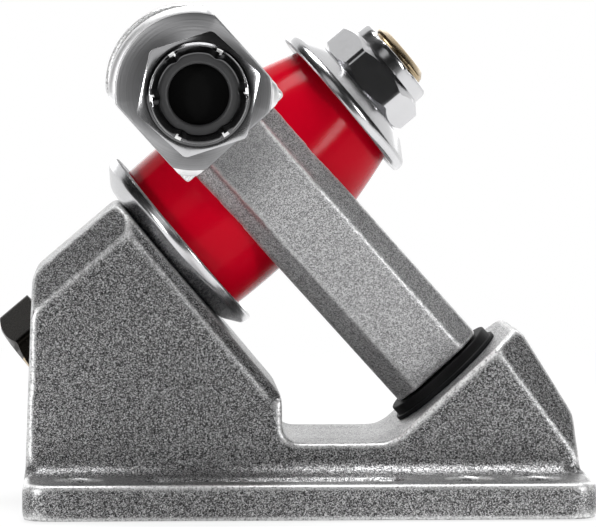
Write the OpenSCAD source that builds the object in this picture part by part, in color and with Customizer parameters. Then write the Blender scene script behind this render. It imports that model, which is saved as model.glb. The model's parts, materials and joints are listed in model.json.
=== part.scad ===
// Longboard truck with a reversed kingpin.
// The origin is the centre of the outer four deck holes, on the deck face. +Z points away from the deck,
// +X points to the pivot side and Y runs along the axle.

/* [Deck flange] */
// Length of the flange along X
flange_length = 78.8; // [76:0.2:90]
// Width of the flange along Y
flange_width = 56; // [54:0.5:64]
// Thickness of the flange
flange_thickness = 5; // [4:0.1:6]
// Radius of the flange's corners
flange_corner_radius = 3; // [3:0.5:9]
// Spacing of the outer deck holes along X
hole_spacing_long = 63.5; // [62:0.1:64]
// Spacing of the inner deck holes along X
hole_spacing_short = 53.98; // [52:0.1:55]
// Spacing of the deck holes along Y
hole_spacing_across = 41.28; // [40:0.1:43]
// Radius of a deck hole
deck_hole_radius = 2.6; // [2.4:0.05:3]
// Length of the shallow recess beside the towers
ledge_recess_length = 36.8; // [20:0.2:38]
// Width of that recess
ledge_recess_width = 5; // [3:0.2:6]
// Depth of that recess
ledge_recess_depth = 1; // [0.4:0.1:2]
// Middle of that recess along X
ledge_recess_x = -5; // [-7:0.5:-3]

/* [Steering axis] */
// Angle of the pivot axis from the deck face
pivot_angle = 48; // [46:0.5:50]
// Where the kingpin crosses the pivot axis, along X
cross_x = -5.85; // [-7:0.05:-5]
// Height of that crossing above the deck face
cross_z = 46.8; // [46:0.1:49]
// Lean of the kingpin past square to the pivot axis
kingpin_lean = 1.9; // [1.5:0.1:2.5]
// Distance from the kingpin to the axle
axle_offset = 16.6; // [16:0.1:18]

/* [Towers] */
// Width of the towers along Y
tower_width = 30; // [28:0.5:31]
// Draft of the tower's outer wall
tower_draft = 1.2; // [0.4:0.1:3]
// Height of the floor between the towers
notch_floor_z = 9.4; // [8:0.1:10]
// Foot of the kingpin tower's inner wall along X
tower_foot_x = -3.4; // [-5:0.1:-2.5]
// Distance from the kingpin to the tower's back face
tower_back = 10.2; // [9.6:0.1:11]
// Distance from the kingpin crossing down to the washer seat
seat_drop = 18; // [17.5:0.1:20]
// Distance from the kingpin crossing to the pivot face
pivot_face_distance = 39.6; // [39:0.1:41]
// Half length of the pivot face above the pivot axis
pivot_face_rise = 11.5; // [10.5:0.1:12.5]
// Width of the back slope's crest
pivot_crest = 1.4; // [0.8:0.1:2.5]
// Height of the knee in the pivot tower's back
pivot_knee_z = 13; // [12:0.1:15]
// Length of the pivot tower's end inside the flange's end
pivot_end_inset = 0.6; // [0.4:0.1:2]
// Size of the bevel along the towers' outer edges
tower_bevel = 4; // [2:0.2:5]
// Size of the bevel along the washer seat's edges
seat_bevel = 1.6; // [1:0.1:2]
// Radius of the fillets in the notch
notch_fillet = 2.3; // [1:0.1:3]
// Radius of the fillets along the towers' feet
foot_fillet = 3.8; // [2:0.1:3.8]
// Depth of those fillets' arcs below the faces that they meet
foot_fillet_dip = 0.15; // [0.1:0.05:0.3]
// Radius of the towers' crests
crest_radius = 1.2; // [0.5:0.1:1.6]

/* [Kingpin] */
// Diameter of the kingpin, a 3/8 inch bolt
kingpin_diameter = 9.525; // [9:0.005:10]
// Length of the kingpin under its head
kingpin_length = 63.4; // [61:0.1:66]
// Length of the kingpin above the crossing
kingpin_rise = 26.6; // [26:0.1:28]
// Width across the flats of the kingpin's head and nut
kingpin_hex = 14.29; // [14:0.01:15]
// Height of the kingpin's head
kingpin_head_height = 6; // [5:0.1:6.5]
// Room around the kingpin in the baseplate and washers
kingpin_clearance = 0.15; // [0.1:0.01:0.3]
// Room around the kingpin's head in its pocket
head_clearance = 0.2; // [0.1:0.05:0.3]

/* [Bushings and washers] */
// Radius of the bushings
bushing_radius = 12.1; // [11.5:0.1:12.5]
// Radius of the upper bushing's narrow end
bushing_tip_radius = 9.2; // [8.8:0.1:9.8]
// Straight foot of the upper bushing
bushing_foot = 3; // [2:0.1:4]
// Room between a bushing and the kingpin or the hanger's seat
bushing_clearance = 0.3; // [0.25:0.01:0.5]
// Height of the upper bushing
upper_bushing_height = 13.1; // [12.5:0.1:14]
// Radius of the lower washer's rim
lower_washer_radius = 14.8; // [14.6:0.1:16]
// Radius of the upper washer's rim
upper_washer_radius = 12.3; // [11.8:0.1:12.8]
// Thickness of the washers' sheet
washer_sheet = 1.6; // [1.2:0.1:2]
// Height of the lower washer's rim above its foot
lower_washer_height = 3.6; // [3:0.1:4.5]
// Depth of the upper washer's rim below its floor
upper_washer_depth = 2; // [1.5:0.1:2.5]

/* [Kingpin nut] */
// Height of the kingpin nut's hexagon
kingpin_nut_hex_height = 4.8; // [4.5:0.1:5.5]
// Height of the collar above the hexagon
kingpin_nut_collar_height = 2.1; // [1.6:0.1:2.4]
// Radius of the collar
kingpin_nut_collar_radius = 6.6; // [6.3:0.05:6.8]
// Room between a nut and its thread
thread_clearance = 0.05; // [0.02:0.01:0.1]
// Wall of a lock nut's collar
collar_wall = 0.8; // [0.6:0.05:1]

/* [Hanger] */
// Length of the hanger between its end faces
hanger_length = 180; // [150:1:184]
// Radius of the bar's outer side
bar_radius = 10; // [9.6:0.1:10.5]
// Distance of that radius's centre outward from the axle
bar_round_offset = 1; // [0.5:0.1:2]
// Half thickness of the bar
bar_half_thickness = 8.05; // [7.9:0.05:8.8]
// Distance from the axle to the bar's inner face
bar_inner = 8; // [7:0.1:9]
// Length of the machined shoulder at each end
shoulder_length = 3; // [2:0.2:5]
// Radius that the shoulder is turned to about the axle
shoulder_radius = 9.5; // [9:0.1:10]
// Half thickness of the yoke
yoke_half_thickness = 7.25; // [7:0.05:7.8]
// Size of the bevels along the yoke
yoke_bevel = 2.9; // [2:0.1:3.2]
// Half width of the yoke at the kingpin
yoke_half_width = 16; // [15.4:0.1:18]
// Half width of the yoke at its nose
nose_half_width = 8; // [7.4:0.1:9]
// Radius of the gussets between the bar and the yoke
gusset_radius = 26; // [15:1:34]
// Step from the yoke's bevels in to the gussets' faces
gusset_step = 0.25; // [0.1:0.05:0.6]
// Half thickness of the web between the bushing seats
seat_web = 3.5; // [3:0.1:4]
// Radius of the hanger's kingpin hole
hanger_hole_radius = 7; // [6.6:0.1:7.5]

/* [Pivot] */
// Radius of the hanger's pivot pin and its ball end
pivot_pin_radius = 5.6; // [5.2:0.1:5.8]
// Distance from the pivot face to the ball's centre
pivot_ball_depth = 5; // [4:0.1:6]
// Running room between the pin and its cup
pivot_clearance = 0.08; // [0.03:0.01:0.1]
// Radius of the cup's flange
cup_flange_radius = 9.1; // [8.8:0.1:9.5]
// Thickness of the cup's flange
cup_flange_thickness = 2; // [1.5:0.1:2.4]
// Radius of the cup's body
cup_radius = 8.2; // [7.8:0.1:8.5]
// Thickness of the cup's floor
cup_floor = 1.4; // [1:0.1:1.8]
// Room around the cup in its socket
cup_clearance = 0.05; // [0.02:0.01:0.1]
// Room between the hanger's nose and the cup's flange
nose_clearance = 0.3; // [0.2:0.05:0.6]

/* [Axle] */
// Diameter of the axle, a 5/16 inch rod
axle_diameter = 7.94; // [7.5:0.01:8.5]
// Length of the axle
axle_length = 244; // [230:1:254]
// Diameter over the axle's knurl inside the hanger
axle_grip_diameter = 8.4; // [8.3:0.05:9]
// Depth of the relief groove under the inner speed ring
axle_relief_depth = 0.25; // [0.2:0.05:0.4]
// Length of the thread inward of the outer speed ring
axle_thread_lead = 1.4; // [1:0.1:4]
// Depth of the thread's mean diameter under the axle's surface
axle_thread_depth = 0.34; // [0.3:0.01:0.5]
// Chamfer at the axle's ends
axle_chamfer = 0.7; // [0.4:0.1:1]
// Room around the axle in the hanger
axle_seat_clearance = 0.01; // [0.005:0.005:0.02]
// Length of the axle past the outer speed ring's near face
axle_tail = 6.6; // [6:0.1:8]
// Width across the flats of an axle nut
axle_nut_hex = 12.7; // [12.4:0.05:13.5]
// Height of an axle nut's hexagon
axle_nut_hex_height = 5.7; // [5.6:0.1:7]
// Height of an axle nut's collar
axle_nut_collar_height = 2.5; // [2:0.1:3]
// Radius of an axle nut's collar
axle_nut_collar_radius = 5.6; // [5.4:0.05:5.9]
// Radius of the hole in an axle nut's nylon ring
axle_insert_hole_radius = 3.43; // [3.3:0.01:3.7]
// Turn of an axle nut's corners on the axle
axle_nut_turn = 6; // [0:1:60]
// Radius of a speed ring
speed_ring_radius = 6.1; // [5.8:0.1:6.3]
// Thickness of a speed ring
speed_ring_thickness = 1; // [0.8:0.1:1.2]
// Room between a speed ring and the axle
speed_ring_clearance = 0.1; // [0.06:0.01:0.2]

/* [Hidden] */
$fn = 64;
overcut = 1;
corner_steps = 6;
far = 120;

half_flange = flange_length / 2;
half_tower = tower_width / 2;
kingpin_angle = pivot_angle + kingpin_lean;
kingpin_radius = kingpin_diameter / 2;
axle_radius = axle_diameter / 2;
axle_grip_radius = axle_grip_diameter / 2;
axle_thread_radius = axle_radius - axle_thread_depth;
hex_to_corner = 1 / cos(30);

// Width of the washers' rims, and how far their feet stand in from the cups
washer_lip = washer_sheet * 0.7;
washer_foot_inset = washer_sheet / 4;

// Heights along the kingpin, from the crossing
washer_floor = -seat_drop + washer_sheet;
upper_bushing_top = seat_web + upper_bushing_height;
nut_seat = upper_bushing_top + washer_sheet;
nut_collar_foot = nut_seat + kingpin_nut_hex_height;
nut_top = nut_collar_foot + kingpin_nut_collar_height;
head_seat = kingpin_rise - kingpin_length;

// Distances along the pivot axis, from the crossing
ball_distance = pivot_face_distance + pivot_ball_depth;
cup_end = ball_distance + pivot_pin_radius + pivot_clearance + cup_floor;
nose_end = pivot_face_distance - cup_flange_thickness - nose_clearance;
bar_inner_face = -axle_offset + bar_inner;

// Half thickness of the yoke's flat sides, between the bevels, and of the gussets
yoke_side = yoke_half_thickness - yoke_bevel;
gusset_half_thickness = yoke_side - gusset_step;

// Distances along the axle, from the middle
hanger_end = hanger_length / 2;
axle_end = axle_length / 2;
outer_ring_near_face = axle_end - axle_tail;
axle_thread_foot = outer_ring_near_face - axle_thread_lead;
inner_ring_far_face = hanger_end + speed_ring_thickness;
axle_nut_seat = outer_ring_near_face + speed_ring_thickness;
axle_nut_collar_foot = axle_nut_seat + axle_nut_hex_height;
axle_nut_top = axle_nut_collar_foot + axle_nut_collar_height;

cast_grey = [0.42, 0.42, 0.43];
hanger_grey = [0.6, 0.6, 0.61];
chrome_grey = [0.82, 0.82, 0.84];
steel_grey = [0.55, 0.55, 0.57];
zinc_yellow = [0.72, 0.58, 0.3];
bushing_red = [0.78, 0.02, 0.12];
nylon_black = [0.12, 0.12, 0.13];

// Point in the XZ plane from the crossing, along an axis that dips by an angle and up square to it
function axis_point(angle, along, up) =
    [cross_x + along * cos(angle) + up * sin(angle),
     cross_z - along * sin(angle) + up * cos(angle)];

function steer_point(along, up) = axis_point(pivot_angle, along, up);

function kingpin_point(aside, up) = axis_point(kingpin_angle, aside, up);

function unit(v) = v / norm(v);

// Arc of a corner that is rounded with a radius, between the points before and after it
function corner_arc(before, corner, after, radius) =
    let (to_before = unit(before - corner),
         to_after = unit(after - corner),
         half_angle = acos(to_before * to_after) / 2,
         bisector = unit(to_before + to_after),
         centre = corner + bisector * radius / sin(half_angle),
         first = corner + to_before * radius / tan(half_angle) - centre,
         last = corner + to_after * radius / tan(half_angle) - centre)
    [for (i = [0 : corner_steps])
        let (share = i / corner_steps,
             blend = first * (1 - share) + last * share)
        centre + unit(blend) * radius];

// Outline whose corners are [point, radius]
function rounded_outline(corners) =
    let (count = len(corners))
    [for (i = [0 : count - 1])
        let (before = corners[(i + count - 1) % count][0],
             after = corners[(i + 1) % count][0],
             point = corners[i][0],
             radius = corners[i][1])
        each radius > 0 ? corner_arc(before, point, after, radius) : [point]];

// Moves pieces from the steering axes to the deck's: x is the pivot axis, z is the kingpin
module steering() {
    translate([cross_x, 0, cross_z]) rotate([0, pivot_angle, 0]) children();
}

// Moves pieces that stand on z so that they stand along the kingpin, from the crossing
module on_kingpin() {
    translate([cross_x, 0, cross_z]) rotate([0, kingpin_angle, 0]) children();
}

// Moves pieces that stand on z so that they lie along the axle, on one side
module along_axle(side) {
    steering() translate([-axle_offset, 0, 0]) rotate([-90 * side, 0, 0]) children();
}

// Extrudes an outline in the XZ plane across Y
module across(width) {
    rotate([90, 0, 0]) translate([0, 0, -width / 2]) linear_extrude(width) children();
}

module hexagon(flats, height) {
    cylinder(r = flats / 2 * hex_to_corner, h = height, $fn = 6);
}

module ring(outer, inner, height) {
    difference() {
        cylinder(r = outer, h = height);
        translate([0, 0, -overcut]) cylinder(r = inner, h = height + 2 * overcut);
    }
}

module rounded_plate(length, width, height, radius) {
    linear_extrude(height) union() {
        square([length - 2 * radius, width], center = true);
        square([length, width - 2 * radius], center = true);
        for (x = [-1, 1], y = [-1, 1])
            translate([x * (length / 2 - radius), y * (width / 2 - radius)]) circle(radius);
    }
}

// Outline of both towers, seen along the axle
module tower_outline() {
    left_foot = [-half_flange, 0];
    left_top_x = -half_flange + tower_draft;
    back_low = kingpin_point(-tower_back, 0);
    back_z = back_low[1] - (back_low[0] - left_top_x) / tan(kingpin_angle);
    seat_top = kingpin_point(-tower_back, -seat_drop);
    seat_line = kingpin_point(0, -seat_drop);
    seat_foot_z = seat_line[1] - (tower_foot_x - seat_line[0]) * tan(kingpin_angle);
    face_line = steer_point(pivot_face_distance, 0);
    face_foot_x = face_line[0] - (face_line[1] - notch_floor_z) * tan(pivot_angle);
    face_top = steer_point(pivot_face_distance, pivot_face_rise);
    crest = [face_top[0] + pivot_crest, face_top[1] - pivot_crest / 2];
    knee = [half_flange - pivot_end_inset - tower_draft, pivot_knee_z];
    polygon(rounded_outline([
        [left_foot, 0],
        [[half_flange - pivot_end_inset, 0], 0],
        [knee, 2 * crest_radius],
        [crest, crest_radius / 2],
        [face_top, crest_radius / 3],
        [[face_foot_x, notch_floor_z], 2 * notch_fillet],
        [[tower_foot_x, notch_floor_z], notch_fillet],
        [[tower_foot_x, seat_foot_z], notch_fillet],
        [seat_top, crest_radius],
        [[left_top_x, back_z], 2 * crest_radius]]));
}

// Wedge that bevels a tower's edge: the edge runs in the XZ plane at an angle on one side's face,
// up to a reach past the point
module edge_bevel(point, angle, side, reach) {
    translate([point[0], side * half_tower, point[1]])
        rotate([0, -angle, 0])
        rotate([-45 * side, 0, 0])
        translate([-far, -far / 2, 0])
        cube([far + reach, far, far]);
}

module towers() {
    back_edge = kingpin_point(-tower_back + tower_bevel, -seat_drop);
    crest_edge = steer_point(pivot_face_distance + tower_bevel, pivot_face_rise - tower_bevel);
    end_edge = [half_flange - pivot_end_inset, flange_thickness + overcut];
    end_angle = atan2(end_edge[1] - crest_edge[1], end_edge[0] - crest_edge[0]);
    seat_reach = (tower_foot_x - cross_x + seat_drop * sin(kingpin_angle)) / cos(kingpin_angle);
    seat_edge = kingpin_point(seat_reach, -seat_drop - seat_bevel);
    difference() {
        across(tower_width) tower_outline();
        for (side = [-1, 1]) {
            edge_bevel(back_edge, 90 - kingpin_angle, side, far);
            edge_bevel(end_edge, end_angle, side, far);
            edge_bevel(seat_edge, -kingpin_angle, side, 0);
        }
    }
}

// Fillets between the towers' sides and the flange
module foot_fillets() {
    centre = foot_fillet - foot_fillet_dip;
    first_x = -half_flange + tower_draft;
    last_x = half_flange - pivot_end_inset - 2 * tower_draft;
    for (side = [-1, 1])
        translate([first_x, side * half_tower, flange_thickness])
            mirror([0, side < 0 ? 1 : 0, 0])
            rotate([90, 0, 90])
            linear_extrude(last_x - first_x) difference() {
                translate([-overcut, -overcut]) square(centre + overcut);
                translate([centre, centre]) circle(foot_fillet);
            }
}

module deck_holes() {
    columns = [-hole_spacing_long / 2, hole_spacing_short - hole_spacing_long / 2, hole_spacing_long / 2];
    for (x = columns, y = [-1, 1])
        translate([x, y * hole_spacing_across / 2, -overcut])
            cylinder(r = deck_hole_radius, h = flange_thickness + 2 * overcut);
}

module ledge_recesses() {
    end_radius = ledge_recess_width / 2;
    reach = ledge_recess_length / 2 - end_radius;
    for (y = [-1, 1])
        translate([ledge_recess_x, y * hole_spacing_across / 2, flange_thickness - ledge_recess_depth]) {
            translate([-reach, -end_radius, 0])
                cube([2 * reach, ledge_recess_width, ledge_recess_depth + overcut]);
            for (x = [-1, 1])
                translate([x * reach, 0, 0]) cylinder(r = end_radius, h = ledge_recess_depth + overcut);
        }
}

// Bore for the kingpin, with a pocket that keeps its head from turning
module kingpin_bore() {
    on_kingpin() {
        translate([0, 0, head_seat])
            cylinder(r = kingpin_radius + kingpin_clearance, h = far);
        translate([0, 0, head_seat - far])
            hexagon(kingpin_hex + 2 * head_clearance, far);
    }
}

module cup_socket() {
    steering() translate([pivot_face_distance - overcut, 0, 0]) rotate([0, 90, 0])
        cylinder(r = cup_radius + cup_clearance, h = cup_end - pivot_face_distance + overcut);
}

module baseplate() {
    color(cast_grey) difference() {
        union() {
            rounded_plate(flange_length, flange_width, flange_thickness, flange_corner_radius);
            towers();
            foot_fillets();
        }
        deck_holes();
        ledge_recesses();
        kingpin_bore();
        cup_socket();
    }
}

module pivot_cup() {
    color(nylon_black) steering() translate([pivot_face_distance, 0, 0]) rotate([0, 90, 0])
        difference() {
            union() {
                cylinder(r = cup_radius, h = cup_end - pivot_face_distance);
                translate([0, 0, -cup_flange_thickness])
                    cylinder(r = cup_flange_radius, h = cup_flange_thickness);
            }
            translate([0, 0, -cup_flange_thickness - overcut])
                cylinder(r = pivot_pin_radius + pivot_clearance,
                         h = cup_flange_thickness + overcut + pivot_ball_depth);
            translate([0, 0, pivot_ball_depth]) sphere(pivot_pin_radius + pivot_clearance);
        }
}

module kingpin() {
    color(zinc_yellow) on_kingpin() {
        translate([0, 0, head_seat]) cylinder(r = kingpin_radius, h = kingpin_length - axle_chamfer);
        translate([0, 0, kingpin_rise - axle_chamfer])
            cylinder(r1 = kingpin_radius, r2 = kingpin_radius - axle_chamfer, h = axle_chamfer);
        translate([0, 0, head_seat - kingpin_head_height]) hexagon(kingpin_hex, kingpin_head_height);
    }
}

module lower_washer() {
    hole = kingpin_radius + kingpin_clearance;
    foot = bushing_radius + bushing_clearance - washer_foot_inset;
    lip = lower_washer_height;
    color(chrome_grey) on_kingpin() translate([0, 0, -seat_drop]) rotate_extrude()
        polygon([[hole, 0],
                 [foot, 0],
                 [lower_washer_radius, lip - washer_lip],
                 [lower_washer_radius, lip],
                 [lower_washer_radius - washer_lip, lip],
                 [bushing_radius + bushing_clearance, washer_sheet],
                 [hole, washer_sheet]]);
}

module lower_bushing() {
    color(bushing_red) on_kingpin() translate([0, 0, washer_floor])
        ring(bushing_radius, kingpin_radius + bushing_clearance, -seat_web - washer_floor);
}

module upper_bushing() {
    hole = kingpin_radius + bushing_clearance;
    color(bushing_red) on_kingpin() translate([0, 0, seat_web]) rotate_extrude()
        polygon([[hole, 0],
                 [bushing_radius, 0],
                 [bushing_radius, bushing_foot],
                 [bushing_tip_radius, upper_bushing_height],
                 [hole, upper_bushing_height]]);
}

module upper_washer() {
    hole = kingpin_radius + kingpin_clearance;
    floor_radius = bushing_tip_radius + bushing_clearance;
    color(chrome_grey) on_kingpin() translate([0, 0, upper_bushing_top]) rotate_extrude()
        polygon([[hole, 0],
                 [floor_radius, 0],
                 [upper_washer_radius - washer_lip, -upper_washer_depth],
                 [upper_washer_radius, -upper_washer_depth],
                 [upper_washer_radius, -upper_washer_depth + washer_lip],
                 [floor_radius - washer_foot_inset, washer_sheet],
                 [hole, washer_sheet]]);
}

// Hexagon whose corners are chamfered at both ends
module chamfered_hexagon(flats, height) {
    corner = flats / 2 * hex_to_corner;
    drop = (corner - flats / 2) * tan(30);
    intersection() {
        hexagon(flats, height);
        rotate_extrude()
            polygon([[0, 0],
                     [flats / 2, 0],
                     [corner, drop],
                     [corner, height - drop],
                     [flats / 2, height],
                     [0, height]]);
    }
}

// Body of a lock nut that stands on z = 0, with the room for its nylon ring
module lock_nut(flats, hex_height, collar_radius, collar_height, thread_radius) {
    difference() {
        union() {
            chamfered_hexagon(flats, hex_height);
            translate([0, 0, hex_height]) cylinder(r = collar_radius, h = collar_height);
        }
        translate([0, 0, -overcut])
            cylinder(r = thread_radius + thread_clearance, h = hex_height + 2 * overcut);
        translate([0, 0, hex_height])
            cylinder(r = collar_radius - collar_wall, h = collar_height + overcut);
    }
}

module kingpin_nut() {
    color(chrome_grey) on_kingpin() translate([0, 0, nut_seat])
        lock_nut(kingpin_hex, kingpin_nut_hex_height, kingpin_nut_collar_radius,
                 kingpin_nut_collar_height, kingpin_radius);
}

module kingpin_nut_insert() {
    color(nylon_black) on_kingpin() translate([0, 0, nut_collar_foot])
        ring(kingpin_nut_collar_radius - collar_wall, kingpin_radius + thread_clearance,
             kingpin_nut_collar_height);
}

// Cross-section of the hanger's bar around the axle
module bar_section() {
    intersection() {
        union() {
            translate([-bar_round_offset, 0]) circle(bar_radius);
            translate([-bar_round_offset, -bar_half_thickness])
                square([bar_inner + bar_round_offset, 2 * bar_half_thickness]);
        }
        translate([-bar_round_offset - bar_radius, -bar_half_thickness])
            square([bar_radius + bar_round_offset + bar_inner, 2 * bar_half_thickness]);
    }
}

module bar() {
    steering() translate([-axle_offset, 0, 0]) {
        across(hanger_length - 2 * shoulder_length) bar_section();
        across(hanger_length) intersection() {
            bar_section();
            circle(shoulder_radius);
        }
    }
}

// Slab of the yoke between two half thicknesses, narrowed by a bevel
module yoke_slab(half_thickness, narrowing) {
    translate([0, 0, -half_thickness]) linear_extrude(2 * half_thickness)
        polygon([[-axle_offset, -yoke_half_width + narrowing],
                 [0, -yoke_half_width + narrowing],
                 [nose_end, -nose_half_width + narrowing],
                 [nose_end, nose_half_width - narrowing],
                 [0, yoke_half_width - narrowing],
                 [-axle_offset, yoke_half_width - narrowing]]);
}

// Plates that widen the yoke towards the bar with a round inner corner
module gussets() {
    centre_x = bar_inner_face + gusset_radius;
    taper = (yoke_half_width - nose_half_width) / nose_end;
    reach = yoke_half_width - taper * max(centre_x, 0) + gusset_radius;
    length = axle_offset + centre_x - taper * gusset_radius;
    translate([0, 0, -gusset_half_thickness]) linear_extrude(2 * gusset_half_thickness)
        difference() {
            translate([-axle_offset, -reach]) square([length, 2 * reach]);
            for (side = [-1, 1])
                translate([centre_x, side * reach]) circle(gusset_radius);
        }
}

module pivot_pin() {
    translate([nose_end - overcut, 0, 0]) rotate([0, 90, 0])
        cylinder(r = pivot_pin_radius, h = ball_distance - nose_end + overcut);
    translate([ball_distance, 0, 0]) sphere(pivot_pin_radius);
}

module hanger() {
    color(hanger_grey) difference() {
        union() {
            bar();
            steering() {
                hull() {
                    yoke_slab(yoke_side, 0);
                    yoke_slab(yoke_half_thickness, yoke_bevel);
                }
                gussets();
                pivot_pin();
            }
        }
        on_kingpin() {
            cylinder(r = hanger_hole_radius, h = far, center = true);
            for (up = [0, 1])
                mirror([0, 0, up]) translate([0, 0, seat_web])
                    cylinder(r = bushing_radius + bushing_clearance, h = far);
        }
        along_axle(1) cylinder(r = axle_grip_radius + axle_seat_clearance, h = far * 2, center = true);
    }
}

// One rod: knurled in the hanger, relieved under each inner speed ring, ground for a wheel, then threaded
module axle() {
    relief_radius = axle_radius - axle_relief_depth;
    side = [[axle_grip_radius, hanger_end],
            [relief_radius, hanger_end],
            [relief_radius, inner_ring_far_face],
            [axle_radius, inner_ring_far_face],
            [axle_radius, axle_thread_foot],
            [axle_thread_radius, axle_thread_foot],
            [axle_thread_radius, axle_end - axle_chamfer],
            [axle_thread_radius - axle_chamfer, axle_end],
            [0, axle_end]];
    other_side = [for (i = [len(side) - 1 : -1 : 0]) [side[i][0], -side[i][1]]];
    color(steel_grey) along_axle(1) rotate_extrude() polygon(concat(side, other_side));
}

module axle_nut(side) {
    color(chrome_grey) along_axle(side) translate([0, 0, axle_nut_seat]) rotate(axle_nut_turn)
        lock_nut(axle_nut_hex, axle_nut_hex_height, axle_nut_collar_radius,
                 axle_nut_collar_height, axle_thread_radius);
}

module axle_nut_insert(side) {
    color(nylon_black) along_axle(side) translate([0, 0, axle_nut_collar_foot])
        ring(axle_nut_collar_radius - collar_wall, axle_insert_hole_radius, axle_nut_collar_height);
}

module speed_ring(side, near_face) {
    color(chrome_grey) along_axle(side) translate([0, 0, near_face])
        ring(speed_ring_radius, axle_radius + speed_ring_clearance, speed_ring_thickness);
}

left = -1;
right = 1;

baseplate();
pivot_cup();
kingpin();
lower_washer();
lower_bushing();
upper_bushing();
upper_washer();
kingpin_nut();
kingpin_nut_insert();
hanger();
axle();
axle_nut(left);  // axle_nut_left
axle_nut(right);  // axle_nut_right
axle_nut_insert(left);  // axle_nut_insert_left
axle_nut_insert(right);  // axle_nut_insert_right
speed_ring(left, hanger_end);  // inner_speed_ring_left
speed_ring(right, hanger_end);  // inner_speed_ring_right
speed_ring(left, outer_ring_near_face);  // outer_speed_ring_left
speed_ring(right, outer_ring_near_face);  // outer_speed_ring_right
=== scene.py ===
"""Dresses the longboard truck: castings, threads, plated hardware and red bushings in a white studio."""
import json
import math
from collections import namedtuple

import bmesh
import bpy
import numpy as np
from mathutils import Matrix, Vector


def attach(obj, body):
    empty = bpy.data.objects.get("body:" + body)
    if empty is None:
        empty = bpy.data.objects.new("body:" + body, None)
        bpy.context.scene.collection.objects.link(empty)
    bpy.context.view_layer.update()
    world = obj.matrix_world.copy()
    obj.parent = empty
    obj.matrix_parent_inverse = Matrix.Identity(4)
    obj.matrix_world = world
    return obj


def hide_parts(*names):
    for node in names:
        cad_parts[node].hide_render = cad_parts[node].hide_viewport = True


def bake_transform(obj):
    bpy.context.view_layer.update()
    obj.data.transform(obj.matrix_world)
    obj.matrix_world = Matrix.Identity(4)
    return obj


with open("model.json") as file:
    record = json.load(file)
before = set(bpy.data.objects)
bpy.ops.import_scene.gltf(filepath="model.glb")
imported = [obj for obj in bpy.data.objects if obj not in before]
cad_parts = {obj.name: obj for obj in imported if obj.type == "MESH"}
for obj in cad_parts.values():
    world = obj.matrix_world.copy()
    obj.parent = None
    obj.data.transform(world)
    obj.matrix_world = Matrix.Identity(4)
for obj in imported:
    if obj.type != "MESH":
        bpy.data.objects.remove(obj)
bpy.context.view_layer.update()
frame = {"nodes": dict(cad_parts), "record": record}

# Axes and places, from the frame's joints
MM = 0.001
JOINTS = {joint["name"]: joint for joint in frame["record"]["behaviour"]["joints"]}
CROSS = Vector(JOINTS["hanger_lean"]["pos_m"])
PIVOT_AXIS = Vector(JOINTS["hanger_lean"]["axis"]).normalized()
KINGPIN_AXIS = Vector(JOINTS["kingpin_nut_turn"]["axis"]).normalized()
AXLE_POINT = Vector(JOINTS["axle_nut_left_turn"]["pos_m"])
ALONG_AXLE = Vector((0, 1, 0))
SIDES = {"left": -1, "right": 1}

# Bushings and washers, in millimetres: heights run along the kingpin from where it crosses the pivot axis
SEAT_DROP = 18.0
SEAT_WEB = 3.5
BUSHING_RADIUS = 12.1
BUSHING_TIP_RADIUS = 9.2
BUSHING_BORE = 5.06
BUSHING_EDGE = 0.7
BUSHING_BORE_EDGE = 0.3
BUSHING_FOOT = 3.0
BUSHING_FOOT_BAND = 1.2
BUSHING_TIP_FLARE = 0.15
BUSHING_BORE_STEPS = 8
LOWER_BUSHING_BULGE = 0.12
UPPER_BUSHING_BULGE = 0.1
UPPER_BUSHING_TOP = 16.6
WASHER_SHEET = 1.6
WASHER_EDGE = 0.2
WASHER_LIP_WIDTH = 1.15
WASHER_LIP_EDGE = 0.5
WASHER_SKIRT_HEIGHT = 1.5
WASHER_SKIRT_ROUND = 1.2
LOWER_WASHER_RADIUS = 14.8
LOWER_WASHER_HEIGHT = 3.6
LOWER_WASHER_FOOT_RADIUS = 11.9
LOWER_WASHER_FOOT_ROUND = 3.0
LOWER_WASHER_FLOOR_RADIUS = 12.35
LOWER_WASHER_FLOOR_ROUND = 0.9
UPPER_WASHER_RADIUS = 12.3
UPPER_WASHER_DEPTH = 2.0
UPPER_WASHER_TOP_RADIUS = 9.0
UPPER_WASHER_TOP_ROUND = 2.4
UPPER_WASHER_ROOF_RADIUS = 9.45
UPPER_WASHER_ROOF_ROUND = 0.8

# Kingpin, in the same heights
KINGPIN_RADIUS = 4.7625
KINGPIN_TIP = 26.6
KINGPIN_TIP_CHAMFER = 0.75
KINGPIN_THREAD_FOOT = 6.0
KINGPIN_HEAD_SEAT = -36.8
KINGPIN_HEAD_HEIGHT = 6.0
KINGPIN_HEAD_FILLET = 0.4
KINGPIN_HEX = 14.29
KINGPIN_CHAMFER_SLOPE = 0.75
KINGPIN_HOLE_GAP = 0.15
HEAD_MIDDLE_SHARE = 0.5
HEAD_FACE_SHARE = 0.93
UNDERSIDE_SLOPE = -0.45

# Pivot cup, in millimetres along the pivot axis
PIVOT_FACE = 39.6
CUP_FLANGE_RADIUS = 9.1
CUP_FLANGE_THICKNESS = 2.0
CUP_LIP_THICKNESS = 0.6
CUP_LIP_WIDTH = 0.45
CUP_RADIUS = 8.2
CUP_BORE = 5.68
CUP_END = 51.68
CUP_FLOOR_THICKNESS = 1.4
CUP_MIDDLE_RADIUS = 0.2
CUP_CONE_SHARE = 0.7
CUP_CONE_HEIGHT = 1.6
CUP_STRAIGHT_DEPTH = 5.0

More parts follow.
